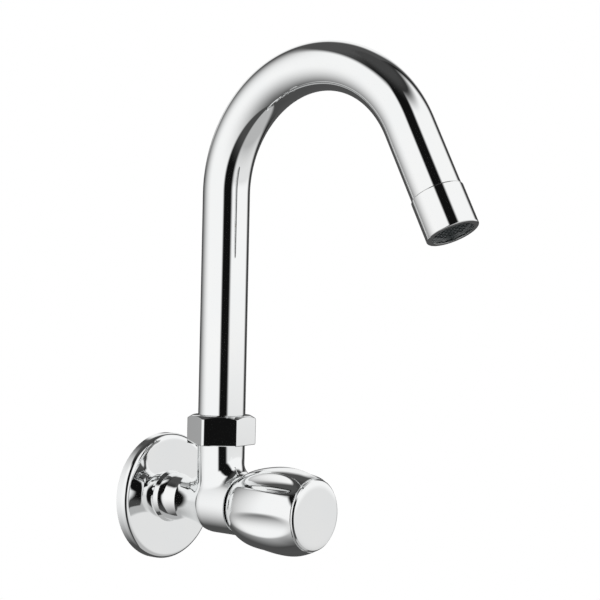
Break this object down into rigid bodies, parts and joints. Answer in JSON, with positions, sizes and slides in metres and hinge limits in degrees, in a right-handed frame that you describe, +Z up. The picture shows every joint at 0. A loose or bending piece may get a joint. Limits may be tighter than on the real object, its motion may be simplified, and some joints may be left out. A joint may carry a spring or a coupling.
{
  "type": "kitchen tap",
  "caption": "Wall-mounted kitchen sink tap in polished chrome with a tall swinging bent spout, a scooped round knob, a hexagon coupling nut and a round wall flange",
  "frame": {"origin": "Centre of the inlet shank where it meets the wall plane", "axes": "+Y runs into the wall along the inlet and valve axis, +Z is up along the upright run of the spout, and X is across; the spout and the knob point away from the wall along -Y"},
  "size_m": [0.06, 0.1895, 0.2395],
  "materials": {
    "chrome_plate": "polished chrome plate on brass",
    "bare_brass": "machined brass",
    "alumina_ceramic": "lapped alumina",
    "black_rubber": "moulded rubber",
    "white_nylon": "moulded nylon",
    "stainless_steel": "plain stainless steel",
    "grey_plastic": "moulded acetal"
  },
  "bodies": {
    "tap": {"valve_body": "chrome_plate", "wall_flange": "chrome_plate", "headwork_housing": "bare_brass", "headwork_gasket": "black_rubber", "seat_seal": "black_rubber", "fixed_ceramic_disc": "alumina_ceramic", "coupling_nut": "chrome_plate", "slip_washer": "white_nylon"},
    "knob": {"knob_body": "chrome_plate", "knob_bush": "white_nylon", "knob_screw": "stainless_steel", "knob_end_cap": "chrome_plate", "spindle": "bare_brass", "spindle_thrust_washer": "white_nylon", "spindle_o_rings": "black_rubber", "spindle_circlip": "stainless_steel", "turning_ceramic_disc": "alumina_ceramic"},
    "spout": {"spout_tube": "chrome_plate", "spout_ferrule": "bare_brass", "spout_snap_ring": "stainless_steel", "spout_o_rings": "black_rubber", "spout_end_insert": "bare_brass", "aerator_shell": "chrome_plate", "aerator_washer": "black_rubber", "aerator_core": "grey_plastic", "aerator_inlet_screen": "stainless_steel", "aerator_outlet_grille": "grey_plastic"}
  },
  "joints": [
    {"name": "knob_turn", "type": "hinge", "parent": "tap", "child": "knob", "pos_m": [0, -0.0531, 0], "axis": [0, -1, 0], "range_deg": [0, 90]},
    {"name": "spout_swivel", "type": "hinge", "parent": "tap", "child": "spout", "pos_m": [0, -0.038, 0.0383], "axis": [0, 0, 1], "range_deg": [-100, 100]}
  ]
}
